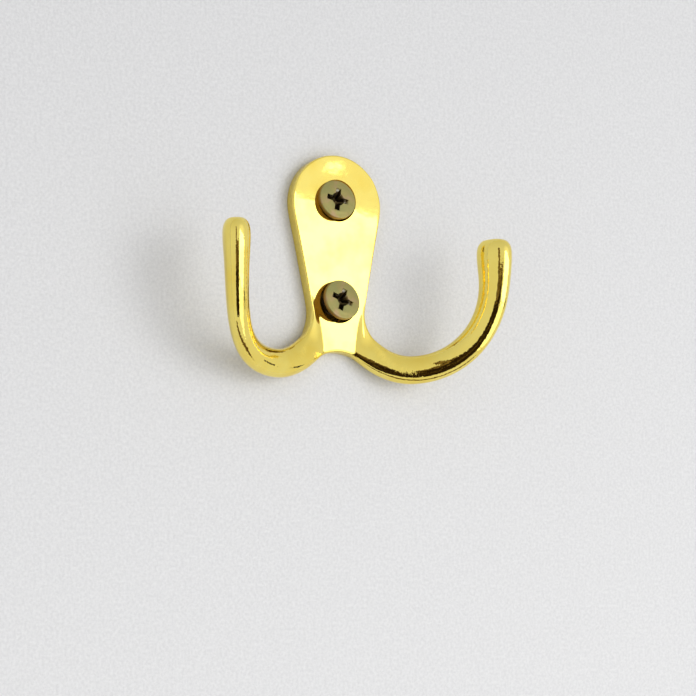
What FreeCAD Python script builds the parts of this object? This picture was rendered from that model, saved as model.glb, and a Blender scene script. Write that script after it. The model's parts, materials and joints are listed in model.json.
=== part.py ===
"""Double robe hook: a cast back plate with two prongs, held to a wall by two countersunk screws.

Frame: X to the right, Y into the wall, Z up. The back of the plate lies on Y = 0, and the origin is
midway between the two fixing holes. Millimetres and degrees.
"""
import FreeCAD, Part
import math
import os

import Sketcher
from FreeCAD import Placement, Rotation, Vector

# Driving dimensions
DIMENSIONS = (
    ("fixing_centres", 20.4),
    ("plate_thickness", 2.6),
    ("plate_end_radius", 10.0),
    ("plate_end_drop", 0.8),
    ("plate_waist_half_width", 6.1),
    ("plate_waist_depth", 10.9),
    ("plate_flare_radius", 7.4),
    ("plate_flare_turn", 50.0),
    ("plate_foot_radius", 1.6),
    ("plate_edge_radius", 0.4),
    ("arch_depth", 20.2),
    ("arch_radius", 10.4),
    ("arch_half_span", 5.0),
    ("prong_root_offset", 3.8),
    ("prong_root_turn", 70.0),
    ("prong_lead_angle", 14.0),
    ("prong_tip_angle", 62.0),
    ("prong_drop", 23.4),
    ("prong_fall_radius", 12.6),
    ("prong_rise_radius", 17.9),
    ("prong_upright", 5.1),
    ("prong_root_height", 5.6),
    ("prong_root_width", 1.8),
    ("prong_shank_height", 5.7),
    ("prong_shank_width", 4.2),
    ("prong_tip_height", 7.5),
    ("prong_tip_width", 5.4),
    ("prong_dome", 3.2),
    ("screw_head_diameter", 8.0),
    ("screw_head_land", 0.9),
    ("screw_rim_chamfer", 0.12),
    ("screw_neck_diameter", 2.6),
    ("screw_neck_end", 7.2),
    ("screw_thread_diameter", 4.0),
    ("screw_length", 20.0),
    ("screw_point_length", 5.0),
    ("screw_point_flat", 0.3),
    ("recess_span", 4.4),
    ("recess_width", 1.0),
    ("recess_depth", 1.9),
    ("recess_floor_span", 1.6),
    ("recess_floor_width", 0.7),
    ("thread_clearance", 1.2),
    ("head_clearance", 1.2),
    ("seat_clearance", 0.5),
    ("screw_lean_angle", 40.0),
    ("upper_screw_stand", 1.2),
    ("upper_screw_tilt", 10.5),
    ("upper_screw_swing", 0.0),
    ("upper_screw_spin", -12.0),
    ("lower_screw_stand", 2.0),
    ("lower_screw_tilt", 11.0),
    ("lower_screw_swing", 4.5),
    ("lower_screw_spin", -22.0),
)

doc = FreeCAD.newDocument("double_robe_hook")
sheet = doc.addObject("Spreadsheet::Sheet", "dims")
for row, (alias, value) in enumerate(DIMENSIONS, start=1):
    sheet.set(f"A{row}", alias)
    sheet.set(f"B{row}", str(value))
    sheet.setAlias(f"B{row}", alias)
doc.recompute()


def size(alias):
    """Value of a driving dimension."""
    return float(sheet.get(alias))


def origin_plane(body, role):
    """Origin plane of a body, found by its role."""
    return next(item for item in body.Origin.OriginFeatures if item.Role == role)


def new_sketch(body, name, role):
    """Empty sketch on one of the body's own origin planes."""
    sketch = body.newObject("Sketcher::SketchObject", name)
    sketch.AttachmentSupport = [(origin_plane(body, role), "")]
    sketch.MapMode = "FlatFace"
    return sketch


def drive(sketch, constraint, name, expression):
    """Adds a constraint to a sketch and ties it to the sheet."""
    index = sketch.addConstraint(constraint)
    sketch.renameConstraint(index, name)
    sketch.setExpression(f"Constraints.{name}", expression)


def point(x, y):
    """Point of a sketch."""
    return Vector(x, y, 0)


# In a constraint the ends of a curve are 1 and 2 and its centre is 3. The sketch's origin is -1, 1, and
# its upright axis is -2
def line(sketch, first, last):
    return sketch.addGeometry(Part.LineSegment(point(*first), point(*last)), False)


def arc(sketch, centre, radius, first_angle, last_angle):
    circle = Part.Circle(point(*centre), Vector(0, 0, 1), radius)
    part_of_it = Part.ArcOfCircle(circle, math.radians(first_angle), math.radians(last_angle))
    return sketch.addGeometry(part_of_it, False)


def draw_plate_outline(sketch):
    """Round top end, tapering sides, a waist that flares into the prongs and an arch between them."""
    end_level = size("fixing_centres") / 2 - size("plate_end_drop")
    end_radius = size("plate_end_radius")
    waist_x = size("plate_waist_half_width")
    waist_z = -size("plate_waist_depth")
    flare = size("plate_flare_radius")

    # Tangent from the waist to the round end
    reach = math.hypot(waist_x, waist_z - end_level)
    tangent = math.degrees(math.atan2(waist_z - end_level, waist_x) + math.acos(end_radius / reach))
    side_x = end_radius * math.cos(math.radians(tangent))
    side_z = end_level + end_radius * math.sin(math.radians(tangent))

    # Flare, which starts tangent to the side
    flare_x = waist_x + flare * math.cos(math.radians(tangent))
    flare_z = waist_z + flare * math.sin(math.radians(tangent))
    flare_end = 180 + tangent + size("plate_flare_turn")
    foot_x = flare_x + flare * math.cos(math.radians(flare_end))
    foot_z = flare_z + flare * math.sin(math.radians(flare_end))

    arch = size("arch_radius")
    arch_x = size("arch_half_span")
    arch_z = -size("arch_depth") - arch
    arch_turn = math.degrees(math.asin(arch_x / arch))
    arch_foot = arch_z + arch * math.cos(math.radians(arch_turn))

    top = arc(sketch, (0, end_level), end_radius, tangent, 180 - tangent)
    right_side = line(sketch, (side_x, side_z), (waist_x, waist_z))
    right_flare = arc(sketch, (flare_x, flare_z), flare, 180 + tangent, flare_end)
    right_foot = line(sketch, (foot_x, foot_z), (arch_x, arch_foot))
    crown = arc(sketch, (0, arch_z), arch, 90 - arch_turn, 90 + arch_turn)
    left_foot = line(sketch, (-arch_x, arch_foot), (-foot_x, foot_z))
    left_flare = arc(sketch, (-flare_x, flare_z), flare, 180 - flare_end, -tangent)
    left_side = line(sketch, (-waist_x, waist_z), (-side_x, side_z))

    join = Sketcher.Constraint
    sketch.addConstraint([
        join("Tangent", top, 1, right_side, 1),
        join("Tangent", right_side, 2, right_flare, 1),
        join("Coincident", right_flare, 2, right_foot, 1),
        join("Coincident", right_foot, 2, crown, 1),
        join("Coincident", crown, 2, left_foot, 1),
        join("Coincident", left_foot, 2, left_flare, 1),
        join("Tangent", left_flare, 2, left_side, 1),
        join("Tangent", left_side, 2, top, 2),
        join("PointOnObject", top, 3, -2),
        join("Symmetric", right_side, 2, left_side, 1, -2),
        join("Symmetric", right_foot, 1, left_foot, 2, -2),
        join("Symmetric", right_foot, 2, left_foot, 1, -2),
    ])
    drive(sketch, join("DistanceY", -1, 1, top, 3, end_level), "end_level",
          "dims.fixing_centres / 2 - dims.plate_end_drop")
    drive(sketch, join("Radius", top, end_radius), "end_radius", "dims.plate_end_radius")
    drive(sketch, join("DistanceX", -1, 1, right_side, 2, waist_x), "waist_x",
          "dims.plate_waist_half_width")
    drive(sketch, join("DistanceY", right_side, 2, -1, 1, -waist_z), "waist_z",
          "dims.plate_waist_depth")
    drive(sketch, join("Radius", right_flare, flare), "flare", "dims.plate_flare_radius")
    drive(sketch, join("Angle", right_flare, math.radians(size("plate_flare_turn"))), "flare_turn",
          "dims.plate_flare_turn * 1 deg")
    drive(sketch, join("DistanceY", crown, 3, -1, 1, -arch_z), "arch_centre",
          "dims.arch_depth + dims.arch_radius")
    drive(sketch, join("Radius", crown, arch), "arch", "dims.arch_radius")
    drive(sketch, join("DistanceX", -1, 1, right_foot, 2, arch_x), "arch_x", "dims.arch_half_span")


def draw_oval(sketch, height, width):
    """Oval section of a prong: height in the plane of the bend, width across it."""
    tall = 4.0
    wide = 2.0
    oval = sketch.addGeometry(Part.Ellipse(point(0, tall), point(wide, 0), point(0, 0)), False)
    sketch.exposeInternalGeometry(oval)
    long_axis, short_axis = oval + 1, oval + 2
    sketch.addConstraint([
        Sketcher.Constraint("Coincident", oval, 3, -1, 1),
        Sketcher.Constraint("Vertical", long_axis),
    ])
    drive(sketch, Sketcher.Constraint("Distance", long_axis, 2 * tall), "height", height)
    drive(sketch, Sketcher.Constraint("Distance", short_axis, 2 * wide), "width", width)


def draw_rectangle(sketch, span, width):
    """Rectangle about the sketch's origin."""
    x, y = 2.0, 1.0
    corners = [(-x, -y), (x, -y), (x, y), (-x, y)]
    sides = [line(sketch, corners[i], corners[(i + 1) % 4]) for i in range(4)]
    for i in range(4):
        sketch.addConstraint(Sketcher.Constraint("Coincident", sides[i], 2, sides[(i + 1) % 4], 1))
    for i in (0, 2):
        sketch.addConstraint(Sketcher.Constraint("Horizontal", sides[i]))
        sketch.addConstraint(Sketcher.Constraint("Vertical", sides[i + 1]))
    sketch.addConstraint(Sketcher.Constraint("Symmetric", sides[0], 1, sides[2], 1, -1, 1))
    drive(sketch, Sketcher.Constraint("Distance", sides[0], 2 * x), "span", span)
    drive(sketch, Sketcher.Constraint("Distance", sides[1], 2 * y), "width", width)


# Path of a prong: it falls from the plate along an arc, then rises along a larger one while its plan
# turns forwards from the lead angle to the tip angle, and ends upright
LOW_RUN = "(dims.prong_fall_radius * sin(dims.prong_root_turn))"
LOW_X = f"(dims.prong_root_offset + {LOW_RUN} * cos(dims.prong_lead_angle))"
LOW_OUT = f"(dims.plate_thickness / 2 + {LOW_RUN} * sin(dims.prong_lead_angle))"
PLAN_RADIUS = "(dims.prong_rise_radius * 180 / pi / (dims.prong_tip_angle - dims.prong_lead_angle))"


def falling_station(turn):
    """Place on the falling arc, as far before the lowest point as the turn says."""
    back = f"(dims.prong_fall_radius * sin({turn}))"
    x = f"{LOW_X} - {back} * cos(dims.prong_lead_angle)"
    out = f"{LOW_OUT} - {back} * sin(dims.prong_lead_angle)"
    z = f"dims.prong_fall_radius * (1 - cos({turn})) - dims.prong_drop"
    return x, out, z, "dims.prong_lead_angle", f"-({turn})"


def rising_station(turn, lift="0"):
    """Place on the rising arc, past the lowest point by the turn, and lifted straight up."""
    heading = f"(dims.prong_lead_angle + (dims.prong_tip_angle - dims.prong_lead_angle) * sin({turn}))"
    x = f"{LOW_X} + {PLAN_RADIUS} * (sin{heading} - sin(dims.prong_lead_angle))"
    out = f"{LOW_OUT} + {PLAN_RADIUS} * (cos(dims.prong_lead_angle) - cos{heading})"
    z = f"dims.prong_rise_radius * (1 - cos({turn})) - dims.prong_drop + {lift}"
    return x, out, z, heading, turn


def blend(first, last, share):
    """Size part of the way from one driving dimension to another."""
    return f"dims.{first} + (dims.{last} - dims.{first}) * {share}"


def add_section(body, name, side, station, height, width):
    """Oval section square to the prong's path, on the right (1) or the left (-1)."""
    x, out, z, heading, climb = station
    sketch = new_sketch(body, name, "YZ_Plane")
    draw_oval(sketch, height, width)
    sketch.setExpression("AttachmentOffset.Base.x", f"-({out})")
    sketch.setExpression("AttachmentOffset.Base.y", z)
    sketch.setExpression("AttachmentOffset.Base.z", f"{side} * ({x})")
    turn = f"rotation(0; {-side} * ({heading}); {-side} * ({climb}))"
    sketch.setExpression("AttachmentOffset.Rotation", turn)
    return sketch


def add_prong(body, name, side):
    """Prong lofted from a flat oval within the plate to a fuller oval at the tip, and its domed end."""
    sections = []
    for share, swell in ((0, 0), (0.34, 0.5), (0.67, 0.86)):
        turn = f"dims.prong_root_turn * {1 - share:.2f}"
        sections.append(add_section(body, f"{name}_fall", side, falling_station(turn),
                                    blend("prong_root_height", "prong_shank_height", share),
                                    blend("prong_root_width", "prong_shank_width", swell)))
    for turn, swell in ((0, 0), (18, 0), (36, 0.02), (54, 0.1), (72, 0.28), (90, 0.6)):
        sections.append(add_section(body, f"{name}_rise", side, rising_station(f"{turn}"),
                                    blend("prong_shank_height", "prong_tip_height", swell),
                                    blend("prong_shank_width", "prong_tip_width", swell)))
    tip = rising_station("90", "dims.prong_upright")
    sections.append(add_section(body, f"{name}_tip", side, tip,
                                "dims.prong_tip_height", "dims.prong_tip_width"))
    bar = body.newObject("PartDesign::AdditiveLoft", f"{name}_bar")
    bar.Profile = sections[0]
    bar.Sections = sections[1:]
    doc.recompute()

    x, out, z, heading, _ = tip
    dome = body.newObject("PartDesign::AdditiveEllipsoid", f"{name}_dome")
    dome.setExpression("Radius1", "dims.prong_dome")
    dome.setExpression("Radius2", "dims.prong_tip_height / 2")
    dome.setExpression("Radius3", "dims.prong_tip_width / 2")
    dome.Angle1 = 0
    dome.AttachmentSupport = [(origin_plane(body, "XY_Plane"), "")]
    dome.MapMode = "FlatFace"
    dome.setExpression("AttachmentOffset.Base.x", f"{side} * ({x})")
    dome.setExpression("AttachmentOffset.Base.y", f"-({out})")
    dome.setExpression("AttachmentOffset.Base.z", z)
    dome.setExpression("AttachmentOffset.Rotation", f"rotation({-side} * ({heading}); 0; 0)")
    doc.recompute()
    return dome


# Hook casting
casting = doc.addObject("PartDesign::Body", "hook_casting")
casting.Label = "hook_casting"
casting.Placement = Placement(Vector(0, 0, 0), Rotation(0, 0, 0))

outline = new_sketch(casting, "plate_outline", "XZ_Plane")
draw_plate_outline(outline)
plate = casting.newObject("PartDesign::Pad", "plate")
plate.Profile = outline
plate.setExpression("Length", "dims.plate_thickness")
doc.recompute()

# Feet of the plate, rounded so that they lie within the prongs
feet = []
for number, edge in enumerate(plate.Shape.Edges, start=1):
    across = edge.Curve.TypeId == "Part::GeomLine" and abs(edge.tangentAt(edge.FirstParameter).y) > 0.99
    if across and edge.CenterOfMass.z < -size("plate_waist_depth") - 0.01:
        feet.append(f"Edge{number}")
plate_feet = casting.newObject("PartDesign::Fillet", "plate_feet")
plate_feet.Base = (plate, feet)
plate_feet.setExpression("Radius", "dims.plate_foot_radius")
doc.recompute()

# Soft edge round the front of the plate
front = [f"Face{number}" for number, face in enumerate(plate_feet.Shape.Faces, start=1)
         if face.CenterOfMass.y < 0.01 - size("plate_thickness")]
plate_edge = casting.newObject("PartDesign::Fillet", "plate_edge")
plate_edge.Base = (plate_feet, front)
plate_edge.setExpression("Radius", "dims.plate_edge_radius")
doc.recompute()

# Prongs
add_prong(casting, "right_prong", 1)
prongs = add_prong(casting, "left_prong", -1)

# Countersunk fixing holes, drilled from the front of the plate
centres = new_sketch(casting, "fixing_centres", "XZ_Plane")
bore = size("screw_thread_diameter") + size("thread_clearance")
level = size("fixing_centres") / 2
for side, name in ((1, "upper"), (-1, "lower")):
    mark = centres.addGeometry(Part.Circle(point(0, side * level), Vector(0, 0, 1), bore / 2), False)
    centres.addConstraint(Sketcher.Constraint("PointOnObject", mark, 3, -2))
    ends = (-1, 1, mark, 3) if side > 0 else (mark, 3, -1, 1)
    drive(centres, Sketcher.Constraint("DistanceY", *ends, level), f"{name}_level",
          "dims.fixing_centres / 2")
    drive(centres, Sketcher.Constraint("Diameter", mark, bore), f"{name}_bore",
          "dims.screw_thread_diameter + dims.thread_clearance")
centres.setExpression("AttachmentOffset.Base.z", "dims.plate_thickness")
doc.recompute()
before_holes = prongs.Shape.Volume
holes = casting.newObject("PartDesign::Hole", "fixing_holes")
holes.Profile = centres
doc.recompute()
holes.Threaded = False
holes.setExpression("Diameter", "dims.screw_thread_diameter + dims.thread_clearance")
holes.HoleCutType = "Countersink"
holes.HoleCutCustomValues = True
holes.setExpression("HoleCutDiameter", "dims.screw_head_diameter + dims.head_clearance")
holes.HoleCutCountersinkAngle = 90
holes.DepthType = "ThroughAll"
casting.Tip = holes
doc.recompute()
if holes.Shape.Volume > before_holes - 1:
    raise RuntimeError("the fixing holes cut nothing")

# Screw, with the middle of its head's face at its own origin and its point down
screw = doc.addObject("PartDesign::Body", "screw")
screw.Label = "screw"
profile = new_sketch(screw, "screw_profile", "XZ_Plane")
head = size("screw_head_diameter") / 2
neck = size("screw_neck_diameter") / 2
thread = size("screw_thread_diameter") / 2
rim = size("screw_rim_chamfer")
land = size("screw_head_land")
cone = land + head - neck
neck_end = size("screw_neck_end")
step = neck_end + thread - neck
length = size("screw_length")
taper = length - size("screw_point_length")
flat = size("screw_point_flat")
corners = [(0, 0), (head - rim, 0), (head, -rim), (head, -land), (neck, -cone), (neck, -neck_end),
           (thread, -step), (thread, -taper), (flat, -length), (0, -length)]
last = len(corners) - 1
edges = [line(profile, corners[i], corners[i + 1]) for i in range(last)]
edges.append(line(profile, corners[last], corners[0]))
for i in range(last + 1):
    after = edges[0] if i == last else edges[i + 1]
    profile.addConstraint(Sketcher.Constraint("Coincident", edges[i], 2, after, 1))
profile.addConstraint([
    Sketcher.Constraint("Coincident", edges[0], 1, -1, 1),
    Sketcher.Constraint("Horizontal", edges[0]),
    Sketcher.Constraint("Vertical", edges[2]),
    Sketcher.Constraint("Vertical", edges[4]),
    Sketcher.Constraint("Vertical", edges[6]),
    Sketcher.Constraint("Horizontal", edges[8]),
    Sketcher.Constraint("Vertical", edges[9]),
])
HEAD = "dims.screw_head_diameter / 2"
NECK = "dims.screw_neck_diameter / 2"
THREAD = "dims.screw_thread_diameter / 2"
across = (
    ("face", edges[1], head - rim, f"{HEAD} - dims.screw_rim_chamfer"),
    ("head", edges[2], head, HEAD),
    ("neck", edges[4], neck, NECK),
    ("thread", edges[6], thread, THREAD),
    ("flat", edges[8], flat, "dims.screw_point_flat"),
)
for name, edge, value, expression in across:
    drive(profile, Sketcher.Constraint("DistanceX", -1, 1, edge, 1, value), name, expression)
along = (
    ("rim", edges[2], rim, "dims.screw_rim_chamfer"),
    ("land", edges[3], land, "dims.screw_head_land"),
    ("cone", edges[4], cone, f"dims.screw_head_land + {HEAD} - {NECK}"),
    ("neck_end", edges[5], neck_end, "dims.screw_neck_end"),
    ("step", edges[6], step, f"dims.screw_neck_end + {THREAD} - {NECK}"),
    ("taper", edges[7], taper, "dims.screw_length - dims.screw_point_length"),
    ("length", edges[8], length, "dims.screw_length"),
)
for name, edge, value, expression in along:
    drive(profile, Sketcher.Constraint("DistanceY", edge, 1, -1, 1, value), name, expression)
turned = screw.newObject("PartDesign::Revolution", "screw_turned")
turned.Profile = profile
turned.ReferenceAxis = (profile, ["V_Axis"])
turned.Angle = 360
doc.recompute()

# Cross recess: one tapering slot, repeated square to itself
slot_mouth = new_sketch(screw, "slot_mouth", "XY_Plane")
draw_rectangle(slot_mouth, "dims.recess_span", "dims.recess_width")
slot_floor = new_sketch(screw, "slot_floor", "XY_Plane")
draw_rectangle(slot_floor, "dims.recess_floor_span", "dims.recess_floor_width")
slot_floor.setExpression("AttachmentOffset.Base.z", "-dims.recess_depth")
slot = screw.newObject("PartDesign::SubtractiveLoft", "slot")
slot.Profile = slot_mouth
slot.Sections = [slot_floor]
doc.recompute()
recess = screw.newObject("PartDesign::PolarPattern", "recess")
recess.Originals = [slot]
recess.Axis = (slot_mouth, ["N_Axis"])
recess.Angle = 90
recess.Occurrences = 2
screw.Tip = recess
doc.recompute()
if not recess.Shape.Volume < slot.Shape.Volume < turned.Shape.Volume:
    raise RuntimeError("the cross recess cut nothing")


# How far a screw's neck leans off the middle of its hole
LEAN = ("((dims.screw_thread_diameter + dims.thread_clearance - dims.screw_neck_diameter) / 2"
        " - dims.seat_clearance)")


def place_screw(name, level):
    """Screw that leans on the lower side of its hole, with its head proud of the plate and tilted up."""
    tilt = f"dims.{name}_screw_tilt"
    swing = f"dims.{name}_screw_swing"
    out = f"(dims.plate_thickness + dims.{name}_screw_stand)"
    x = f"{out} * tan({swing}) - {LEAN} * sin(dims.screw_lean_angle)"
    z = f"{level} - {LEAN} * cos(dims.screw_lean_angle) + {out} * tan({tilt}) / cos({swing})"
    turn = f"rotation({swing}; 0; 90 - {tilt}) * rotation(dims.{name}_screw_spin; 0; 0)"
    link = doc.addObject("App::Link", f"{name}_screw")
    link.LinkedObject = screw
    link.setExpression("Placement", f"placement(vector({x}; -{out}; {z}); {turn})")
    return link


# Both screws, as one group of two solids
screws = doc.addObject("Part::Compound", "fixing_screws")
screws.Label = "fixing_screws"
screws.Links = [
    place_screw("upper", "dims.fixing_centres / 2"),
    place_screw("lower", "-dims.fixing_centres / 2"),
]
screws.Placement = Placement(Vector(0, 0, 0), Rotation(0, 0, 0))
doc.recompute()

# Every object has to be sound before anything is written
for item in doc.Objects:
    if "Invalid" in item.State or "Error" in item.State:
        raise RuntimeError(f"{item.Name} failed: {item.State}")
nodes = (casting, screws)
for node in nodes:
    if node.Shape.isNull() or not node.Shape.isValid():
        raise RuntimeError(f"{node.Label} has no valid shape")

os.makedirs("parts", exist_ok=True)
for node in nodes:
    node.Shape.exportStep(f"parts/{node.Label}.step")
    box = node.Shape.BoundBox
    print(node.Label, len(node.Shape.Solids), "solids", round(node.Shape.Volume, 2), "mm3",
          [round(v, 3) for v in (box.XMin, box.XMax, box.YMin, box.YMax, box.ZMin, box.ZMax)])
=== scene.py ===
"""Looks of a double robe hook: the polished casting, its two fixing screws and a pale studio wall."""

import json
import math

import bmesh
import bpy
from bpy.props import FloatProperty, FloatVectorProperty, PointerProperty
from bpy.types import Operator, Panel, PropertyGroup
from mathutils import Matrix, Quaternion, Vector


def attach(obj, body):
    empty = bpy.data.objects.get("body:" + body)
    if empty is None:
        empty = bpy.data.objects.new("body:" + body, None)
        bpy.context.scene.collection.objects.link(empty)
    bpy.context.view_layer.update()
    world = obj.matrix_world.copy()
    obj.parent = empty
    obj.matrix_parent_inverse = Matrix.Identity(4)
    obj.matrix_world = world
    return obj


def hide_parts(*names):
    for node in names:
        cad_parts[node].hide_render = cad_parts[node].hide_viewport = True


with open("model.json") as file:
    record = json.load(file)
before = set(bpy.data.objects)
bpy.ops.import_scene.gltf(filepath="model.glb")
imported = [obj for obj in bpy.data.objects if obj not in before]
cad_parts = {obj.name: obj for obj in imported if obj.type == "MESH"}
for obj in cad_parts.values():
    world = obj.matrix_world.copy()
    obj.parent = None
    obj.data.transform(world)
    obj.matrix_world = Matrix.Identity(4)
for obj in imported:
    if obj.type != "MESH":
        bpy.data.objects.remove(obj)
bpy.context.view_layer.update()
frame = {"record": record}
MOUNTS = {mount["name"]: mount for mount in frame["record"]["mounts"]}

bl_info = {
    "name": "Double robe hook",
    "version": (1, 0, 0),
    "blender": (4, 5, 0),
    "location": "View3D > Sidebar > Hook",
    "description": "Builds a polished double robe hook with its fixing screws",
    "category": "Object",
}

MM = 0.001
WHITE = (1.0, 1.0, 1.0)
ORIGIN = (0.0, 0.0, 0.0)
# Faces that meet at more than this angle have an edge between them
CORNER = math.radians(35)
# Marks nearer than this are the same
CLOSE = 0.02 * MM


def length(name, description, millimetres):
    """Length that a user may change."""
    return FloatProperty(name=name, description=description, default=millimetres * MM, min=0.0,
                         unit="LENGTH", precision=5)


def angle(name, description, degrees):
    """Angle that a user may change."""
    return FloatProperty(name=name, description=description, default=math.radians(degrees), unit="ROTATION")


def colour(name, description, value):
    """Colour that a user may change."""
    return FloatVectorProperty(name=name, description=description, default=value, size=3, min=0.0, max=1.0,
                               subtype="COLOR")


class HookCastingSizes(PropertyGroup):
    """Sizes of the plate and the prongs"""
    thickness: length("Plate thickness", "From the wall to the flat face", 2.6)
    fixing: length("Fixing centres", "Between the two holes", 20.4)
    end_drop: length("End drop", "From the upper hole down to the centre of the round end", 0.8)
    end_radius: length("End radius", "Round end of the plate", 10.0)
    waist: length("Waist", "Half width of the plate where it flares", 6.1)
    waist_depth: length("Waist depth", "How far the waist lies below the origin", 10.9)
    flare: length("Flare radius", "Hollow between the plate's side and a prong", 7.4)
    arch_depth: length("Arch depth", "How far the top of the arch lies below the origin", 20.2)
    arch_radius: length("Arch radius", "Arch between the prongs", 10.4)
    crease_top: length("Crease top", "Half width of the flat face where its creases start", 4.6)
    crease_depth: length("Crease depth", "How far the top of the creases lies below the origin", 12.9)
    crease_foot: length("Crease foot", "Half width of the flat face at the arch", 3.45)
    crease_bow: length("Crease bow", "How far the creases bow towards each other", 0.2)
    border: length("Border", "Rounded border of the flat face", 1.1)
    facet: length("Facet rise", "How far the prongs' roots stand forwards of the flat face", 0.55)
    bore: length("Bore", "Radius of the fixing holes", 2.6)
    countersink: length("Countersink", "Radius of the holes at the flat face", 4.25)
    root_offset: length("Root offset", "Where a prong's line leaves the plate", 3.8)
    drop: length("Drop", "How far a prong's lowest point lies below the origin", 23.4)
    fall_radius: length("Fall radius", "Arc of a prong on its way down", 12.6)
    rise_radius: length("Rise radius", "Arc of a prong on its way up", 17.9)
    upright: length("Upright", "Straight end of a prong", 5.1)
    dome: length("Dome", "Height of the rounded tip", 3.2)
    root_turn: angle("Root turn", "Slope of a prong's line in the plate", 70.0)
    lead: angle("Lead", "How far a prong heads forwards where it leaves the plate", 14.0)
    tip_turn: angle("Tip turn", "How far a prong heads forwards at its tip", 62.0)
    root_width: length("Root width", "Prong's depth within the plate", 1.8)
    shank_height: length("Shank height", "Prong's section in the plane of its bend", 5.7)
    shank_width: length("Shank width", "Prong's section across its bend", 4.2)
    tip_height: length("Tip height", "Tip's section in the plane of its bend", 7.5)
    tip_width: length("Tip width", "Tip's section across its bend", 5.4)


class HookScrewSizes(PropertyGroup):
    """Sizes of a fixing screw"""
    head: length("Head", "Radius of the head", 4.0)
    land: length("Land", "Straight rim of the head", 0.9)
    rim: length("Rim", "Chamfer round the face", 0.12)
    neck: length("Neck", "Radius of the plain neck and of the thread's core", 1.3)
    neck_end: length("Neck end", "Where the thread starts, below the face", 7.2)
    thread: length("Thread", "Outer radius of the thread", 2.0)
    pitch: length("Pitch", "From turn to turn", 1.8)
    taper: length("Taper", "Where the point starts, below the face", 15.0)
    reach: length("Length", "From the face to the point", 20.0)
    recess_span: length("Recess span", "Cross recess from end to end", 4.8)
    recess_width: length("Recess width", "Slot of the cross recess", 1.1)
    wear: length("Wear", "How ragged the driver has left the recess", 0.1)
    recess_depth: length("Recess depth", "Cross recess below the face", 1.9)
    upper_spin: angle("Upper spin", "How far the upper screw's cross is turned", -12.0)
    lower_spin: angle("Lower spin", "How far the lower screw's cross is turned", -22.0)


class HookFinish(PropertyGroup):
    """Colours of the finishes, some of them painted shade and painted glints"""
    brass: colour("Brass", "Polished plating", (0.94, 0.77, 0.19))
    brass_warm: colour("Warm brass", "Warmer patches of the plating", (0.92, 0.70, 0.13))
    olive: colour("Olive", "Passivated steel", (0.38, 0.325, 0.12))
    green: colour("Green", "Green bloom on the steel", (0.33, 0.315, 0.12))
    rose: colour("Rose", "Pink bloom on the steel", (0.45, 0.31, 0.185))
    # Painted shade: this brown darkens the screws' rims and the undersides of their heads
    rim: colour("Rim", "Brown rim of the screws", (0.36, 0.21, 0.075))
    # Bare steel worn by the driver, made bright as a painted glint in the recess
    bare_and_glint: colour("Bare steel", "Edges of the recess, where the driver has slipped", (0.80, 0.76, 0.62))
    # Painted shade: this umber darkens the screws' recesses and the wall behind the bores
    umber: colour("Umber", "Recess of the screws", (0.07, 0.045, 0.02))
    wall: colour("Wall", "Studio wall", (0.686, 0.686, 0.69))
    wall_grain: colour("Wall grain", "Darker grain of the studio wall", (0.50, 0.50, 0.51))


class HookStage(PropertyGroup):
    """Camera and light"""
    lens: FloatProperty(name="Lens", description="Focal length", default=134.0, unit="CAMERA")
    room: FloatProperty(name="Room light", description="Brightness of the room", default=0.79, min=0.0)
    key: FloatProperty(name="Key light", description="Power of the light that casts the soft shadows",
                       default=2.7, min=0.0)
    panel: FloatProperty(name="Panel light", description="Brightness of the panel", default=3.0, min=0.0)


class Shade:
    """Socket of a material on which sums are written as Python expressions."""

    def __init__(self, tree, socket):
        self.tree = tree
        self.socket = socket

    def node(self, kind, settings=None, output=0, **inputs):
        """Adds any node: its settings first, then the values or links of its sockets."""
        made = self.tree.nodes.new("ShaderNode" + kind)
        for name, value in (settings or {}).items():
            if name == "stops":
                set_stops(made.color_ramp, value)
            else:
                setattr(made, name, value)
        for name, value in inputs.items():
            socket = find_socket(made, name)
            if isinstance(value, Shade):
                self.tree.links.new(value.socket, socket)
            else:
                socket.default_value = value
        return Shade(self.tree, made.outputs[output])

    def sum(self, operation, first, last):
        """Adds a Math node."""
        return self.node("Math", {"operation": operation}, i0=first, i1=last)

    def __add__(self, other):
        return self.sum("ADD", self, other)

    def __sub__(self, other):
        return self.sum("SUBTRACT", self, other)

    def __mul__(self, other):
        return self.sum("MULTIPLY", self, other)

    def __radd__(self, other):
        return self.sum("ADD", other, self)

    def __rsub__(self, other):
        return self.sum("SUBTRACT", other, self)

    def __rmul__(self, other):
        return self.sum("MULTIPLY", other, self)


def set_stops(ramp, stops):
    """Stops of a colour ramp, as pairs of place and colour."""
    while len(ramp.elements) < len(stops):
        ramp.elements.new(0.5)
    for element, (place, value) in zip(ramp.elements, stops):
        element.position = place
        element.color = (*value, 1.0) if isinstance(value, tuple) else (value, value, value, 1.0)


def find_socket(node, name):
    """Socket by its name with _ for a space, or i0, i1 and so on by its number."""
    if name[0] == "i" and name[1:].isdigit():
        return node.inputs[int(name[1:])]
    return node.inputs[name.replace("_", " ")]


def new_material(name):
    """Empty node material, its Principled shader and the start of an expression."""
    material = bpy.data.materials.new(name)
    material.use_nodes = True
    tree = material.node_tree
    tree.nodes.clear()
    shader = tree.nodes.new("ShaderNodeBsdfPrincipled")
    output = tree.nodes.new("ShaderNodeOutputMaterial")
    tree.links.new(shader.outputs["BSDF"], output.inputs["Surface"])
    return material, shader, Shade(tree, None)


def feed(shade, shader, **inputs):
    """Links expressions to the shader's sockets."""
    for name, value in inputs.items():
        shade.tree.links.new(value.socket, find_socket(shader, name))


def mix_colours(shade, factor, first, last):
    """Colour between two."""
    first = first if isinstance(first, Shade) else (*first, 1.0)
    last = last if isinstance(last, Shade) else (*last, 1.0)
    return shade.node("Mix", {"data_type": "RGBA"}, output=2, i0=factor, i6=first, i7=last)


def across_and_up(shade, vector):
    """X and Z of a vector."""
    split = shade.node("SeparateXYZ", Vector=vector)
    return split, Shade(shade.tree, split.socket.node.outputs["Z"])


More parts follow.
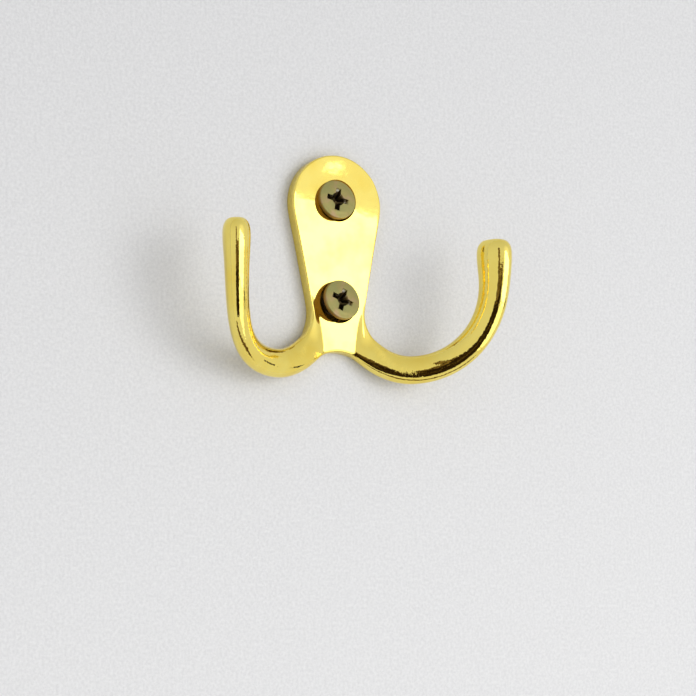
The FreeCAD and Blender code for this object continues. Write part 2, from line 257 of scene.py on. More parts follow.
def polished_brass(finish):
    """Bright plating with the faint waviness of a buffed casting, rougher along the prongs."""
    material, shader, shade = new_material("polished_brass")
    shader.inputs["Metallic"].default_value = 1.0
    place = shade.node("TexCoord", output=3)
    patches = shade.node("TexNoise", Vector=place, Scale=160.0, Detail=3.0, Roughness=0.55)
    smears = shade.node("TexNoise", Vector=place, Scale=900.0, Detail=4.0, Roughness=0.6)
    ripple = shade.node("TexNoise", Vector=place, Scale=260.0, Detail=2.0, Roughness=0.5)
    pits = shade.node("TexNoise", Vector=place, Scale=2600.0, Detail=2.0, Roughness=0.5)
    across, height = across_and_up(shade, place)
    aside = shade.node("Math", {"operation": "ABSOLUTE"}, i0=across)
    prong = shade.node("MapRange", Value=aside * 1.6 - height * 0.3, From_Min=14 * MM, From_Max=20 * MM)
    chatter = shade.node("TexNoise", Vector=place, Scale=1500.0, Detail=2.0, Roughness=0.5)
    tone = shade.node("ValToRGB", {"stops": [(0.42, 0.0), (0.72, 1.0)]}, Fac=patches)
    feed(shade, shader,
         Base_Color=mix_colours(shade, tone, tuple(finish.brass), tuple(finish.brass_warm)),
         Roughness=0.015 + smears * 0.025,
         Normal=shade.node("Bump", Strength=1.0, Distance=0.00012,
                           Height=ripple * 0.04 + pits * 0.0007 + prong * chatter * 0.2))
    return material


def passivated_steel(name, finish, placement, sizes):
    """Olive yellow passivated steel with a green and pink bloom, and painted shade: dark in the recess and
    down the rim.
    """
    material, shader, shade = new_material(name)
    shader.inputs["Metallic"].default_value = 1.0
    place = shade.node("TexCoord", output=3)
    own = shade.node("Mapping", {"vector_type": "TEXTURE"}, Vector=place,
                     Location=placement.to_translation(), Rotation=placement.to_euler())
    _, depth = across_and_up(shade, own)
    bloom = shade.node("TexNoise", Vector=own, Scale=330.0, Detail=2.0, Roughness=0.5)
    grain = shade.node("TexNoise", Vector=own, Scale=2600.0, Detail=3.0, Roughness=0.6)
    grey = shade.node("TexNoise", Vector=own, Scale=900.0, Detail=3.0, Roughness=0.6)
    green = shade.node("ValToRGB", {"stops": [(0.45, 0.0), (0.62, 1.0)]}, Fac=bloom)
    rose = shade.node("ValToRGB", {"stops": [(0.36, 1.0), (0.47, 0.0)]}, Fac=bloom)
    face = mix_colours(shade, green, tuple(finish.olive), tuple(finish.green))
    face = mix_colours(shade, rose * 0.8, face, tuple(finish.rose))
    # Painted shade: below the face the steel is painted umber in the recess and brown down the head's rim
    # and underside, where shade falls
    below = shade.node("MapRange", Value=depth, From_Min=-0.04 * MM, From_Max=-0.45 * MM)
    painted_shade = below * (0.75 + grey * 0.3)
    spoke = shade.node("VectorMath", {"operation": "MULTIPLY"}, i0=own, i1=(1.0, 1.0, 0.0))
    reach = shade.node("VectorMath", {"operation": "LENGTH"}, output=1, i0=spoke)
    outside = shade.node("Math", {"operation": "GREATER_THAN"}, i0=reach, i1=sizes.head * 0.8)
    dark = mix_colours(shade, outside, tuple(finish.umber), tuple(finish.rim))
    # Low on the recess walls, ragged patches of bare steel worn by the driver, bright as painted glints
    bared_and_glint = shade.node("MapRange", Value=depth, From_Min=-0.9 * MM, From_Max=-0.5 * MM)
    ragged = shade.node("ValToRGB", {"stops": [(0.50, 0.0), (0.55, 1.0)]}, Fac=grey)
    dark = mix_colours(shade, bared_and_glint * ragged * (1.0 - outside), dark, tuple(finish.bare_and_glint))
    shank = shade.node("MapRange", Value=depth, From_Min=-sizes.recess_depth - 0.1 * MM,
                       From_Max=-sizes.recess_depth - 0.8 * MM)
    feed(shade, shader,
         Base_Color=mix_colours(shade, painted_shade * (1.0 - shank), face, dark),
         Roughness=0.24 + grain * 0.18 + outside * 0.2,
         Normal=shade.node("Bump", Strength=0.25, Distance=0.00006, Height=grain + grey * 0.6))
    return material


def behind_plate(shade, place, casting):
    """1 where the plate covers the wall, well inside its outline."""
    across, height = across_and_up(shade, place)
    top = casting.fixing / 2 - casting.end_drop
    level = shade.node("Clamp", Value=height, Min=-casting.arch_depth * 0.7, Max=top)
    slope = (casting.end_radius - casting.waist) / (top + casting.waist_depth)
    half_width = (level - top) * slope + casting.end_radius * 0.96
    spoke = shade.node("CombineXYZ", X=across, Y=height - level)
    reach = shade.node("VectorMath", {"operation": "LENGTH"}, output=1, i0=spoke)
    return shade.node("Math", {"operation": "LESS_THAN"}, i0=reach, i1=half_width)


def studio_wall(finish, casting):
    """Pale grained wall that shows from the front only and is open behind the plate, but for a disc of
    painted shade behind each bore; darker towards the top.
    """
    material, shader, shade = new_material("studio_wall")
    shader.inputs["Roughness"].default_value = 0.75
    place = shade.node("TexCoord", output=3)
    centre = shade.node("VectorMath", {"operation": "ABSOLUTE"}, i0=place)
    reach = shade.node("VectorMath", {"operation": "DISTANCE"}, output=1, i0=centre,
                       i1=(0.0, 0.0, casting.fixing / 2))
    # Painted shade: a disc behind each bore stays closed and is painted umber, as the dark inside of the
    # hole
    hole_shade = shade.node("Math", {"operation": "LESS_THAN"}, i0=reach, i1=casting.bore * 1.2)
    opening = behind_plate(shade, place, casting) - hole_shade
    grain = shade.node("TexNoise", Vector=place, Scale=1750.0, Detail=3.0, Roughness=0.6)
    speck = shade.node("MapRange", Value=grain, From_Min=0.35, From_Max=0.65, To_Min=0.0, To_Max=0.4)
    _, height = across_and_up(shade, place)
    # The paint is darker towards the top of the wall
    rise = shade.node("MapRange", Value=height, From_Min=-0.085, From_Max=0.055, To_Min=0.0, To_Max=0.32)
    paint = mix_colours(shade, speck + rise, tuple(finish.wall), tuple(finish.wall_grain))
    feed(shade, shader, Base_Color=mix_colours(shade, hole_shade, paint, tuple(finish.umber)))
    feed(shade, shader, Normal=shade.node("Bump", Strength=0.35, Distance=0.0003, Height=grain))
    behind = shade.node("NewGeometry", output=6)
    clear = shade.node("BsdfTransparent")
    front = Shade(shade.tree, shader.outputs["BSDF"])
    hidden = shade.node("Math", {"operation": "MAXIMUM"}, i0=behind, i1=opening)
    shown = shade.node("MixShader", Fac=hidden, i1=front, i2=clear)
    output = next(node for node in shade.tree.nodes if node.type == "OUTPUT_MATERIAL")
    shade.tree.links.new(shown.socket, output.inputs["Surface"])
    return material


def start_piece(name):
    """Names the new primitive and opens it for editing."""
    piece = bpy.context.object
    piece.name = name
    piece.data.name = name
    bpy.ops.object.mode_set(mode="EDIT")
    bpy.ops.mesh.select_mode(type="VERT")
    return piece


def edit_mesh(piece):
    """Mesh that is being edited."""
    mesh = bmesh.from_edit_mesh(piece.data)
    mesh.verts.ensure_lookup_table()
    mesh.edges.ensure_lookup_table()
    mesh.faces.ensure_lookup_table()
    return mesh


def choose(piece, items):
    """Selects only these vertices, edges or faces."""
    bpy.ops.mesh.select_all(action="DESELECT")
    for item in items:
        item.select_set(True)
    bmesh.update_edit_mesh(piece.data)


def put(piece, marks):
    """Moves vertices to their marks, one by one."""
    for vertex, mark in marks:
        choose(piece, [vertex])
        bpy.ops.transform.translate(value=Vector(mark) - vertex.co)


def pick(piece, *others):
    """Selects only these objects, with the first one active."""
    bpy.ops.object.select_all(action="DESELECT")
    for item in (piece, *others):
        item.select_set(True)
    bpy.context.view_layer.objects.active = piece


def face_outwards():
    """Turns all faces of the mesh that is being edited outwards, and leaves it."""
    bpy.ops.mesh.select_all(action="SELECT")
    bpy.ops.mesh.normals_make_consistent(inside=False)
    bpy.ops.object.mode_set(mode="OBJECT")


def use_modifier(piece, kind, **settings):
    """Adds a modifier to a piece and applies it."""
    pick(piece)
    modifier = piece.modifiers.new(kind.title(), kind)
    for name, value in settings.items():
        setattr(modifier, name, value)
    bpy.ops.object.modifier_apply(modifier=modifier.name)


def finish_piece(piece, node, material):
    """Ties a finished piece to the frame."""
    piece.data.materials.clear()
    piece.data.materials.append(material)
    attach(piece, "root")
    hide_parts(node)


def ring_pull(degrees):
    """How far out a ring of marks lies, spaced so far apart, for a smooth curve of radius 1."""
    return 6 / (4 + 2 * math.cos(math.radians(degrees)))


RING_PULL = ring_pull(45)

# Half of the flat face is a grid of marks, in rows from the top and columns from the middle
COLUMNS, ROWS = 5, 11
HOLE_ROWS = (3, 7)
CREASE_COLUMN = 2
CREASE_ROWS = (8, 9)
# The round end turns from its top to a little past its widest point, where it meets the plate's side
END_TURN, END_STEPS = 99, 7
# Marks down the side, as shares of its length, and round the hollow beside a prong and the border's end
SIDE_SHARES = (0.24, 0.48, 0.72, 0.93)
FLARE_TURNS = (178, 196, 215)
BORDER_TURNS = (90, 72, 53, 33)
# How far the two marks beside a crease come forwards, as a share of the facets' rise
FACET_SHARES = {8: (0.20, 0.34), 9: (0.55, 0.6), 10: (1.0, 0.9)}

# A prong's sections on its way down: degrees before its lowest point, share of the shank's width,
# roundness and sag of the front
FALLING = ((40, 0.60, 0.75, 0.25), (27, 0.80, 0.92, 0.3), (13, 0.94, 1.0, 0.25), (0, 1.0, 1.0, 0.12))
# On its way up: degrees past the lowest point, share of the way to the tip's size and sag of the front
RISING = ((13, 0, 0.04), (26, 0.01, 0), (39, 0.03, 0), (52, 0.09, 0), (65, 0.2, 0), (78, 0.37, 0),
          (90, 0.6, 0))
# At its end: shares of the upright and of the dome below the section, and its share of the tip's size
ENDING = ((0.55, 0.0, 0.99), (1.0, 0.0, 1.02), (1.0, 0.5, 0.97), (1.0, 0.92, 0.68))

# How crisp the casting's edges are, from 0 to 1: the creases from the top, the other edges of the plate,
# and the prongs' roots, whose edges fade away along the prongs
CRISP_CREASE = (0.25, 0.45, 0.55)
CRISP_HOLE, CRISP_BACK, CRISP_FRONT, CRISP_ROOT = 1.0, 0.5, 0.36, 0.4
ROOT_REACH, ROOT_FADE = 1.5 * MM, 14 * MM


def on_circle(centre, radius, degrees):
    """Point of a circle on the plate's face, as x and z."""
    return Vector((centre[0] + radius * math.cos(math.radians(degrees)),
                   centre[1] + radius * math.sin(math.radians(degrees))))


def plate_rim(s):
    """Right half of the plate's outline from its top to the root of the prong, as x and z."""
    end = Vector((0, s.fixing / 2 - s.end_drop))
    step = END_TURN / END_STEPS
    rim = [on_circle(end, s.end_radius * ring_pull(step), 90 - step * number)
           for number in range(END_STEPS + 1)]
    waist = Vector((s.waist, -s.waist_depth))
    tangent = rim[-1] * 0.985
    rim += [tangent.lerp(waist, share) for share in SIDE_SHARES]
    hollow = waist + Vector((s.flare * 0.98, -s.flare * 0.2))
    rim += [on_circle(hollow, s.flare * 1.01, degrees) for degrees in FLARE_TURNS]
    return rim


def plate_marks(s):
    """Marks of the right half of the plate's flat face, row by row from the top, as x and z."""
    rim = plate_rim(s)
    upper, lower = s.fixing / 2, -s.fixing / 2
    ring = s.countersink * RING_PULL
    side = rim[COLUMNS - 1:]
    inner = [[on_circle((0, upper), ring, 90), on_circle((0, upper), ring, 45)],
             [Vector((0, upper)), on_circle((0, upper), ring, 0)],
             [on_circle((0, upper), ring, -90), on_circle((0, upper), ring, -45)],
             [Vector((0, 0)), Vector((ring * 0.55, 0))],
             [on_circle((0, lower), ring, 90), on_circle((0, lower), ring, 45)],
             [Vector((0, lower)), on_circle((0, lower), ring, 0)],
             [on_circle((0, lower), ring, -90), on_circle((0, lower), ring, -45)]]
    crease_foot = arch_point(s, s.crease_foot)
    crease_top = Vector((s.crease_top, -s.crease_depth))
    inner.append([inner[-1][0].lerp(arch_point(s, 0), 0.5),
                  inner[-1][1].lerp(arch_point(s, s.crease_foot / 2), 0.55)])
    end = Vector((0, upper - s.end_drop))
    top = [on_circle(end, s.end_radius - s.border, degrees) for degrees in BORDER_TURNS]
    rows = [rim[:COLUMNS], top + [side[1]]]
    for (axis, near), far in zip(inner, side[2:]):
        last = max(2 / 3, 1 - s.border / (far - near).length)
        rows.append([axis, near, near.lerp(far, last / 2), near.lerp(far, last), far])
    bowed = crease_top.lerp(crease_foot, 0.52) - Vector((s.crease_bow, 0))
    for row, mark in zip(CREASE_ROWS, (crease_top, bowed)):
        rows[row][CREASE_COLUMN:-1] = [mark, mark.lerp(side[row], 0.55)]
    foot = side[ROWS - 1]
    rows.append([arch_point(s, 0), arch_point(s, s.crease_foot / 2), crease_foot,
                 crease_foot.lerp(foot, 0.5), foot])
    return rows


def facet_rise(s, row, column):
    """How far the facets beside the creases come forwards of the flat face."""
    if row not in FACET_SHARES or column <= CREASE_COLUMN:
        return 0.0
    return s.facet * FACET_SHARES[row][column - CREASE_COLUMN - 1]


def arch_point(s, x):
    """Point of the arch between the prongs."""
    return Vector((x, -s.arch_depth - s.arch_radius + math.sqrt(s.arch_radius ** 2 - x ** 2)))


def prong_station(s, turn, rising, lift=0.0):
    """Place on the right prong's line, with the directions along its section's height and width."""
    run = s.fall_radius * math.sin(s.root_turn)
    low_x = s.root_offset + run * math.cos(s.lead)
    low_out = s.thickness / 2 + run * math.sin(s.lead)
    if rising:
        heading = s.lead + (s.tip_turn - s.lead) * math.sin(turn)
        plan = s.rise_radius / (s.tip_turn - s.lead)
        x = low_x + plan * (math.sin(heading) - math.sin(s.lead))
        out = low_out + plan * (math.cos(s.lead) - math.cos(heading))
        z = s.rise_radius * (1 - math.cos(turn)) - s.drop + lift
        climb = turn
    else:
        heading = s.lead
        back = s.fall_radius * math.sin(turn)
        x = low_x - back * math.cos(heading)
        out = low_out - back * math.sin(heading)
        z = s.fall_radius * (1 - math.cos(turn)) - s.drop
        climb = -turn
    up = Vector((-math.sin(climb) * math.cos(heading), math.sin(climb) * math.sin(heading), math.cos(climb)))
    front = Vector((-math.sin(heading), -math.cos(heading), 0))
    return Vector((x, -out, z)), up, front


def prong_rings(s):
    """Sections of the right prong to its tip: place, half height, half width, roundness, sag in front."""
    rings = []
    for degrees, swell, bend, sag in FALLING:
        place, up, front = prong_station(s, math.radians(degrees), False)
        width = s.root_width + (s.shank_width - s.root_width) * swell
        rings.append((place, up * s.shank_height / 2, front * width / 2, bend, sag))
    for degrees, swell, sag in RISING:
        place, up, front = prong_station(s, math.radians(degrees), True)
        rings.append((place, up * tip_size(s.shank_height, s.tip_height, swell),
                      front * tip_size(s.shank_width, s.tip_width, swell), 1.0, sag))
    for share, rise, size in ENDING:
        place, up, front = prong_station(s, math.pi / 2, True, s.upright * share + s.dome * rise)
        rings.append((place, up * s.tip_height / 2 * size, front * s.tip_width / 2 * size, 1.0, 0))
    return rings


def tip_size(first, last, share):
    """Half size part of the way from the shank to the tip."""
    return (first + (last - first) * share) / 2


class HOOK_OT_casting(Operator):
    """Models the plate and its two prongs as one casting"""
    bl_idname = "hook.casting"
    bl_label = "Hook casting"

    def execute(self, context):
        s = context.scene.hook_casting
        bpy.ops.object.select_all(action="DESELECT")
        bpy.ops.mesh.primitive_grid_add(x_subdivisions=COLUMNS - 1, y_subdivisions=ROWS - 1,
                                        size=2 * s.end_radius)
        piece = start_piece("polished_hook")
        self.lay_out_plate(piece, s)
        self.thicken(piece, s)
        self.draw_out_prong(piece, s)
        self.crease(piece, s)
        bpy.ops.object.mode_set(mode="OBJECT")
        use_modifier(piece, "MIRROR", use_clip=True, merge_threshold=0.00001)
        bpy.ops.object.mode_set(mode="EDIT")
        face_outwards()
        use_modifier(piece, "SUBSURF", levels=3, render_levels=3)
        bpy.ops.object.shade_smooth_by_angle(angle=CORNER)
        finish_piece(piece, "hook_casting", polished_brass(context.scene.hook_finish))
        return {"FINISHED"}

    def lay_out_plate(self, piece, s):
        """Half of the flat face, with its holes left open."""
        mesh = edit_mesh(piece)
        marks = []
        for row, places in enumerate(plate_marks(s)):
            for column, place in enumerate(places):
                vertex = mesh.verts[(ROWS - 1 - row) * COLUMNS + column]
                marks.append((vertex, (place.x, -s.thickness - facet_rise(s, row, column), place.y)))
        put(piece, marks)
        holes = [mesh.verts[(ROWS - 1 - row) * COLUMNS] for row in HOLE_ROWS]
        choose(piece, holes)
        bpy.ops.mesh.delete(type="VERT")

    def thicken(self, piece, s):
        """Two steps back to the wall, the holes' cones and bores, and no wall in the plane of symmetry."""
        bpy.ops.mesh.select_all(action="SELECT")
        for _ in range(2):
            bpy.ops.mesh.extrude_region_move(TRANSFORM_OT_translate={"value": (0, s.thickness / 2, 0)})
        mesh = edit_mesh(piece)
        # The back of the raised facets comes down flat on the wall
        marks = [(vertex, (vertex.co.x, 0, vertex.co.z)) for vertex in mesh.verts
                 if -1.0 * MM < vertex.co.y < -CLOSE]
        put(piece, marks)
        mesh = edit_mesh(piece)
        marks = []
        for vertex in mesh.verts:
            level = s.fixing / 2 if vertex.co.z > 0 else -s.fixing / 2
            spoke = Vector((vertex.co.x, vertex.co.z - level))
            on_ring = abs(spoke.length - s.countersink * RING_PULL) < CLOSE
            if on_ring and vertex.co.y > -s.thickness + CLOSE:
                spoke = spoke.normalized() * s.bore * RING_PULL
                y = 0 if vertex.co.y > -CLOSE else s.countersink - s.bore - s.thickness
                marks.append((vertex, (spoke.x, y, level + spoke.y)))
        put(piece, marks)
        mesh = edit_mesh(piece)
        choose(piece, [face for face in mesh.faces
                       if all(abs(vertex.co.x) < CLOSE for vertex in face.verts)])
        bpy.ops.mesh.delete(type="ONLY_FACE")
        mesh = edit_mesh(piece)
        choose(piece, [edge for edge in mesh.edges if not edge.link_faces])
        bpy.ops.mesh.delete(type="EDGE")

    def draw_out_prong(self, piece, s):
        """Foot of the plate, drawn out ring by ring along the prong's line."""
        mesh = edit_mesh(piece)
        foot = plate_marks(s)[-1][CREASE_COLUMN:]
        found = []
        for face in mesh.faces:
            middle = face.calc_center_median()
            along = [(Vector((middle.x, middle.z)) - foot[number].lerp(foot[number + 1], 0.5)).length
                     for number in (0, 1)]
            if min(along) < CLOSE:
                found.append(face)
        bpy.ops.mesh.select_mode(type="FACE")
        choose(piece, found)
        place = Vector((foot[1].x, -s.thickness / 2, foot[1].y))
        up = Vector((foot[2].x - foot[0].x, 0, foot[2].y - foot[0].y)) / 2
        front = Vector((0, -s.thickness / 2, 0))
        for after, next_up, next_front, bend, sag in prong_rings(s):
            bpy.ops.mesh.extrude_region_move(TRANSFORM_OT_translate={"value": after - place})
            mesh = edit_mesh(piece)
            faces = [face for face in mesh.faces if face.select]
            marks = []
            for vertex in dict.fromkeys(vertex for face in faces for vertex in face.verts):
                high, fore = self.place_in_section(vertex, after, up, front)
                reach = RING_PULL if not (high and fore) else RING_PULL * (1 - bend + bend * math.sqrt(0.5))
                level = -sag if fore > 0 and not high else high
                marks.append((vertex, after + (next_up * level + next_front * fore) * reach))
            bpy.ops.mesh.select_mode(type="VERT")
            put(piece, marks)
            bpy.ops.mesh.select_mode(type="FACE")
            choose(piece, faces)
            place, up, front = after, next_up, next_front

    def place_in_section(self, vertex, place, up, front):
        """Corner, side or middle of a section that a vertex is, as -1, 0 or 1 along its height and width."""
        arm = vertex.co - place
        shares = (arm.dot(up) / up.length_squared, arm.dot(front) / front.length_squared)
        return [max(-1, min(1, round(1.1 * share))) for share in shares]

    def crease(self, piece, s):
        """Crisp edges on the plate, which fade away along the prongs."""
        bpy.ops.mesh.select_mode(type="EDGE")
        mesh = edit_mesh(piece)
        rows = plate_marks(s)
        fold = [Vector((row[CREASE_COLUMN].x, -s.thickness, row[CREASE_COLUMN].y))
                for row in rows[CREASE_ROWS[0] - 1:]]
        sharpness = {edge.index: round(self.edge_sharpness(edge, s, fold), 2) for edge in mesh.edges}
        for sharp in sorted(set(sharpness.values()) - {0}):
            mesh = edit_mesh(piece)
            choose(piece, [mesh.edges[index] for index, value in sharpness.items() if value == sharp])
            bpy.ops.transform.edge_crease(value=sharp)

    def edge_sharpness(self, edge, s, fold):
        """How crisp an edge is, from 0 to 1."""
        ends = [vertex.co for vertex in edge.verts]
        for number, sharp in enumerate(CRISP_CREASE):
            if all(min((end - mark).length for mark in fold[number:number + 2]) < CLOSE for end in ends):
                return sharp
        if len(edge.link_faces) < 2 or edge.calc_face_angle(0) < CORNER:
            return 0
        hole = s.countersink * RING_PULL + 0.5 * MM
        if all(max(abs(abs(end.z) - s.fixing / 2), abs(end.x)) < hole for end in ends):
            return CRISP_HOLE
        if all(abs(end.y) < CLOSE for end in ends):
            return CRISP_BACK
        middle = (ends[0] + ends[1]) / 2
        above_flare = middle.z > -s.waist_depth - 0.6 * MM
        if above_flare and all(abs(end.y + s.thickness) < 0.4 * MM for end in ends):
            return CRISP_FRONT
        root = Vector((5.0 * MM, -s.thickness / 2, -18.5 * MM))
        away = max(0.0, (middle - root).length - ROOT_REACH)
        return max(0.0, CRISP_ROOT - away / ROOT_FADE)


# Radius of a screw's point, and how deep the thread's foot is sunk in the core
POINT, SUNK = 0.2 * MM, 0.15 * MM
THREAD_STEPS = 28
# Span and width of the recess at its floor, as shares of those at the face
FLOOR_SPAN, FLOOR_WIDTH = 0.36, 0.7


class HOOK_OT_screws(Operator):
    """Models the two countersunk fixing screws"""
    bl_idname = "hook.screws"
    bl_label = "Fixing screws"

    def execute(self, context):
        s = context.scene.hook_screw
        finish = context.scene.hook_finish
        model = self.turn_body(s)
        use_modifier(model, "BEVEL", width=0.06 * MM, segments=2, limit_method="ANGLE", angle_limit=CORNER)
        self.cut_recess(model, s)
        self.clean(model)
        self.add_thread(model, s)
        for name, spin in (("upper_screw", s.upper_spin), ("lower_screw", s.lower_spin)):
            self.drive(model, name, spin, s, finish)
        bpy.data.objects.remove(model)
        return {"FINISHED"}

    def turn_body(self, s):
        """Head, neck and core, drawn down from the face."""
        bpy.ops.object.select_all(action="DESELECT")
        bpy.ops.mesh.primitive_circle_add(vertices=64, radius=s.head - s.rim, fill_type="NGON")
        piece = start_piece("screw")
        bpy.ops.mesh.select_all(action="SELECT")
        bpy.ops.mesh.flip_normals()
        radius, depth = s.head - s.rim, 0.0
        cone = s.land + s.head - s.neck
        for next_radius, next_depth in ((s.head, s.rim), (s.head, s.land), (s.neck, cone), (s.neck, s.taper),
                                        (POINT, s.reach)):
            bpy.ops.mesh.extrude_region_move(TRANSFORM_OT_translate={"value": (0, 0, depth - next_depth)})
            bpy.ops.transform.resize(value=(next_radius / radius, next_radius / radius, 1.0),
                                     center_override=(0, 0, -next_depth))
            radius, depth = next_radius, next_depth
        face_outwards()
        return piece

    def cut_recess(self, piece, s):
        """Cross recess worn ragged by the driver: two tapering bars and a cone taken out of the face."""
        for number, turn in enumerate((0, math.pi / 2)):
            bpy.ops.object.select_all(action="DESELECT")
            bpy.ops.mesh.primitive_cube_add(size=1.0)
            bar = start_piece("recess_bar")
            bpy.ops.mesh.select_all(action="SELECT")
            bpy.ops.transform.resize(value=(s.recess_span, s.recess_width, 2 * s.recess_depth))
            self.scale_level(bar, -s.recess_depth, FLOOR_SPAN, FLOOR_WIDTH)
            self.scale_level(bar, s.recess_depth, 2 - FLOOR_SPAN, 2 - FLOOR_WIDTH)
            bpy.ops.mesh.select_all(action="SELECT")
            bpy.ops.mesh.subdivide(number_cuts=5)
            bpy.ops.transform.vertex_random(offset=s.wear, seed=3 + number)
            bpy.ops.transform.rotate(value=turn, orient_axis="Z", center_override=(0, 0, 0))
            self.take_out(piece, bar)
        bpy.ops.object.select_all(action="DESELECT")
        bpy.ops.mesh.primitive_cone_add(vertices=12, radius1=0.5 * MM, radius2=2.3 * MM,
                                        depth=2 * s.recess_depth)
        cone = start_piece("recess_cone")
        bpy.ops.mesh.select_all(action="SELECT")
        bpy.ops.transform.vertex_random(offset=s.wear, seed=8)
        self.take_out(piece, cone)

    def scale_level(self, piece, level, across, along):
        """Resizes the end of a bar at one level."""
        mesh = edit_mesh(piece)
        choose(piece, [vertex for vertex in mesh.verts if vertex.co.z * level > 0])
        bpy.ops.transform.resize(value=(across, along, 1.0), center_override=(0, 0, level))

    def take_out(self, piece, tool):
        """Takes a tool's shape out of the piece."""
        bpy.ops.object.mode_set(mode="OBJECT")
        use_modifier(piece, "BOOLEAN", object=tool, operation="DIFFERENCE", solver="EXACT")
        bpy.data.objects.remove(tool)

    def clean(self, piece):
        """Merges points that the cuts have left on top of each other."""
        bpy.ops.object.mode_set(mode="EDIT")
        bpy.ops.mesh.select_all(action="SELECT")
        gap = 0.0005 * MM
        bpy.ops.mesh.remove_doubles(threshold=gap)
        bpy.ops.mesh.dissolve_degenerate(threshold=gap)
        bpy.ops.object.mode_set(mode="OBJECT")

    def add_thread(self, piece, s):
        """Thread: a ridge wound round the core, fading out at both ends."""
        bpy.ops.object.select_all(action="DESELECT")
        bpy.ops.mesh.primitive_circle_add(vertices=3, radius=0.4 * MM, location=(0, 0, 0))
        ridge = start_piece("thread")
        mesh = edit_mesh(ridge)
        foot = s.neck - SUNK
        corners = ((foot, 0.42 * MM), (s.thread, 0.0), (foot, -0.3 * MM))
        put(ridge, [(vertex, (across, 0, along - s.neck_end)) for vertex, (across, along)
                    in zip(mesh.verts, corners)])
        bpy.ops.object.mode_set(mode="OBJECT")
        turns = int((s.reach - 1.0 * MM - s.neck_end) / s.pitch)
        use_modifier(ridge, "SCREW", angle=2 * math.pi, screw_offset=-s.pitch, iterations=turns,
                     steps=THREAD_STEPS, render_steps=THREAD_STEPS, use_merge_vertices=False,
                     use_smooth_shade=True)
        bpy.ops.object.mode_set(mode="EDIT")
        bpy.ops.mesh.select_mode(type="VERT")
        mesh = edit_mesh(ridge)
        for vertex in mesh.verts:
            depth = -vertex.co.z
            fade = min(1.0, (depth - s.neck_end + 0.3 * MM) / s.pitch)
            point = max(0.0, (depth - s.taper) / (s.reach - s.taper))
            across = Vector((vertex.co.x, vertex.co.y))
            core = foot * (1 - point) + POINT / 2 * point
            over = max(0.0, across.length - foot)
            across = across.normalized() * (core + over * max(0.08, fade) * (1 - 0.75 * point))
            vertex.co.x, vertex.co.y = across
        bmesh.update_edit_mesh(ridge.data)
        bpy.ops.mesh.select_all(action="DESELECT")
        bpy.ops.mesh.select_non_manifold()
        bpy.ops.mesh.fill()
        face_outwards()
        pick(piece, ridge)
        bpy.ops.object.join()
        bpy.ops.object.shade_smooth_by_angle(angle=math.radians(40))

    def drive(self, model, name, spin, s, finish):
        """Copy of the screw, driven in along its mount's axis."""
        mount = MOUNTS[name + "_shank"]
        axis = Vector(mount["axis"])
        first = s.neck_end + s.thread - s.neck
        face = Vector(mount["pos_m"]) - axis * (first + s.taper) / 2
        tilt = math.asin(-axis.z)
        swing = math.atan2(-axis.x, axis.y)
        turn = Matrix.Rotation(swing, 4, "Z") @ Matrix.Rotation(math.pi / 2 - tilt, 4, "X")
        turn = turn @ Matrix.Rotation(spin, 4, "Z")
        placement = Matrix.Translation(face) @ turn
        piece = model.copy()
        piece.data = model.data.copy()
        piece.name = name
        piece.data.name = name
        bpy.context.scene.collection.objects.link(piece)
        piece.matrix_world = placement
        pick(piece)
        bpy.ops.object.transform_apply(location=True, rotation=True, scale=True)
        finish_piece(piece, "fixing_screws",
                     passivated_steel(name + "_steel", finish, placement, s))


# Cards that the prongs mirror as dark lines: name, place, target, width, height, roll in degrees and tone
DARK, BROWN = (0.020, 0.011, 0.005), (0.30, 0.21, 0.11)
DARK_CARDS = (
    ("narrow_flag", (-0.328, -0.573, 0.125), (0.0, 0.0, 0.125), 0.12, 0.35, 0, DARK),
    ("broad_flag", (-0.222, -0.676, -0.368), ORIGIN, 0.53, 0.85, -6, DARK),
    ("side_flag", (0.916, -0.333, -0.225), ORIGIN, 0.16, 0.12, 0, DARK),
    ("low_flag", (0.08, -0.18, -0.8), (0.08, -0.18, 0.0), 1.05, 0.16, 0, (0.12, 0.075, 0.035)),
)


